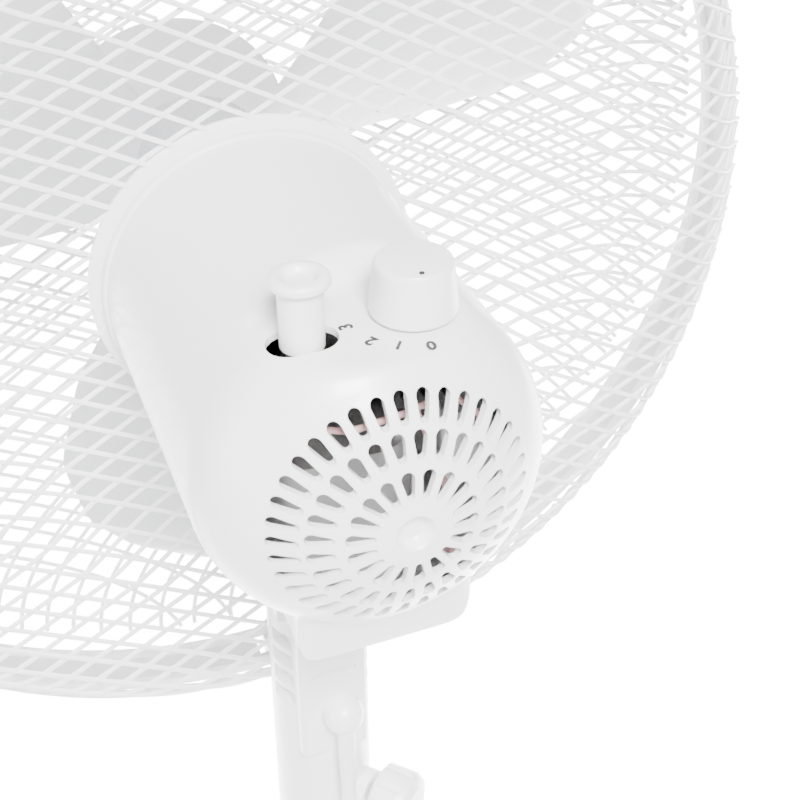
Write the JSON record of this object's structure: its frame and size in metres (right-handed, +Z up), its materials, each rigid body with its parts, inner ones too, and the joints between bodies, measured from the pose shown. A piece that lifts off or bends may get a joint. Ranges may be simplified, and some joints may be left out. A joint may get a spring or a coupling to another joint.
{
  "type": "pedestal fan",
  "caption": "Pedestal fan with crossed base bars, telescopic pole, tilting and oscillating motor head, diamond-mesh guards, three-blade rotor and a coiled mains cord.",
  "frame": {"origin": "on the floor, under the axis of the pole", "axes": "+Z up; the fan blows towards -Y; the controls are at the back, towards +Y; +X is on the right of someone who faces the fan's front"},
  "size_m": [0.4454, 0.4454, 1.115],
  "materials": {
    "white_plastic": "moulded white plastic, satin gloss",
    "white_wire": "white plastic-coated steel wire",
    "blade_plastic": "translucent white moulded plastic",
    "white_steel": "white powder-coated steel",
    "bare_steel": "zinc-plated steel",
    "laminations": "varnished steel laminations",
    "alloy": "die-cast zinc or aluminium",
    "copper": "enamelled copper windings",
    "bronze": "sintered bronze bushes",
    "acetal": "natural acetal gears",
    "dark_plastic": "black phenolic plastic",
    "rubber": "black rubber",
    "cord_white": "white flexible PVC",
    "lead_colours": "coloured lead insulation"
  },
  "bodies": {
    "stand": {"base_bar_lower": "white_steel", "base_bar_upper": "white_steel", "base_end_caps": "white_plastic", "foot_pads": "rubber", "pole_socket": "bare_steel", "base_bolt": "bare_steel", "base_nut": "bare_steel", "base_cover": "white_plastic", "outer_tube": "white_steel", "collar_bush": "acetal", "cord_run": "cord_white", "cord_coil": "cord_white", "cord_tie": "dark_plastic", "plug_body": "cord_white", "plug_pins": "bare_steel"},
    "collar": {"height_collar": "white_plastic"},
    "mast": {"inner_tube": "white_steel", "neck_column": "white_plastic", "cord_bush": "cord_white", "tilt_bolt": "bare_steel", "tilt_nut": "bare_steel"},
    "neck_screw": {"neck_knob": "white_plastic"},
    "swivel": {"swivel_bracket": "alloy", "link_screw": "bare_steel"},
    "link": {"crank_link": "bare_steel"},
    "head": {"motor_rear_cover": "white_plastic", "motor_front_cover": "white_plastic", "front_end_bell": "alloy", "rear_end_bell": "alloy", "motor_bushes": "bronze", "stator_core": "laminations", "stator_windings": "copper", "motor_screws": "bare_steel", "gearbox_case": "alloy", "gearbox_lid": "alloy", "swivel_block": "alloy", "speed_switch": "dark_plastic", "capacitor": "white_plastic", "lead_wires": "lead_colours", "rear_guard": "white_wire", "front_guard": "white_wire", "clamp_band": "white_plastic", "band_screw": "bare_steel", "guard_nut": "white_plastic", "badge": "white_plastic"},
    "rotor": {"motor_shaft": "bare_steel", "rotor_core": "laminations", "fan_blade": "blade_plastic", "blade_nut": "white_plastic"},
    "worm_gear": {"worm_wheel": "acetal"},
    "drive_pinion": {"pinion": "bare_steel"},
    "crank": {"crank_gear": "acetal"},
    "pull_control": {"oscillation_knob": "white_plastic", "pull_rod": "bare_steel"},
    "dial": {"speed_knob": "white_plastic"}
  },
  "joints": [
    {"name": "collar_twist", "type": "hinge", "parent": "stand", "child": "collar", "pos_m": [0, 0, 0.56], "axis": [0, 0, 1], "range_deg": [0, 60]},
    {"name": "height_slide", "type": "slide", "parent": "stand", "child": "mast", "axis": [0, 0, 1], "range_m": [0, 0.2]},
    {"name": "neck_screw_turn", "type": "hinge", "parent": "mast", "child": "neck_screw", "pos_m": [0, 0, 0.702], "axis": [-0.6428, 0.766, 0], "range_deg": [0, 360]},
    {"name": "tilt", "type": "hinge", "parent": "mast", "child": "swivel", "pos_m": [0, 0, 0.816], "axis": [-1, 0, 0], "range_deg": [-10, 30]},
    {"name": "oscillation", "type": "hinge", "parent": "swivel", "child": "head", "pos_m": [0, 0, 0.85], "axis": [0, 0, 1], "range_deg": [-40, 40]},
    {"name": "link_swing", "type": "hinge", "parent": "swivel", "child": "link", "pos_m": [0.014, 0, 0.8444], "axis": [0, 0, 1], "range_deg": [-42, 42]},
    {"name": "rotor_spin", "type": "hinge", "parent": "head", "child": "rotor", "pos_m": [0, 0, 0.9], "axis": [0, 1, 0], "continuous": true},
    {"name": "worm_wheel_turn", "type": "hinge", "parent": "head", "child": "worm_gear", "pos_m": [0.0187, 0.0625, 0.9], "axis": [0, 0, 1], "continuous": true},
    {"name": "pinion_turn", "type": "hinge", "parent": "head", "child": "drive_pinion", "pos_m": [0.0187, 0.0625, 0.88], "axis": [0, 0, 1], "continuous": true},
    {"name": "crank_turn", "type": "hinge", "parent": "head", "child": "crank", "pos_m": [0.008, 0.044, 0.865], "axis": [0, 0, 1], "continuous": true},
    {"name": "pull_slide", "type": "slide", "parent": "head", "child": "pull_control", "axis": [0, 0, 1], "range_m": [-0.007, 0]},
    {"name": "dial_turn", "type": "hinge", "parent": "head", "child": "dial", "pos_m": [-0.015, 0.06, 0.954], "axis": [0, 0, 1], "range_deg": [-81, 0]}
  ],
  "couplings": [
    {"joint": "link_swing", "follows": "oscillation", "ratio": 1},
    {"joint": "worm_wheel_turn", "follows": "rotor_spin", "ratio": -0.027778},
    {"joint": "crank_turn", "follows": "pinion_turn", "ratio": -0.29412}
  ]
}
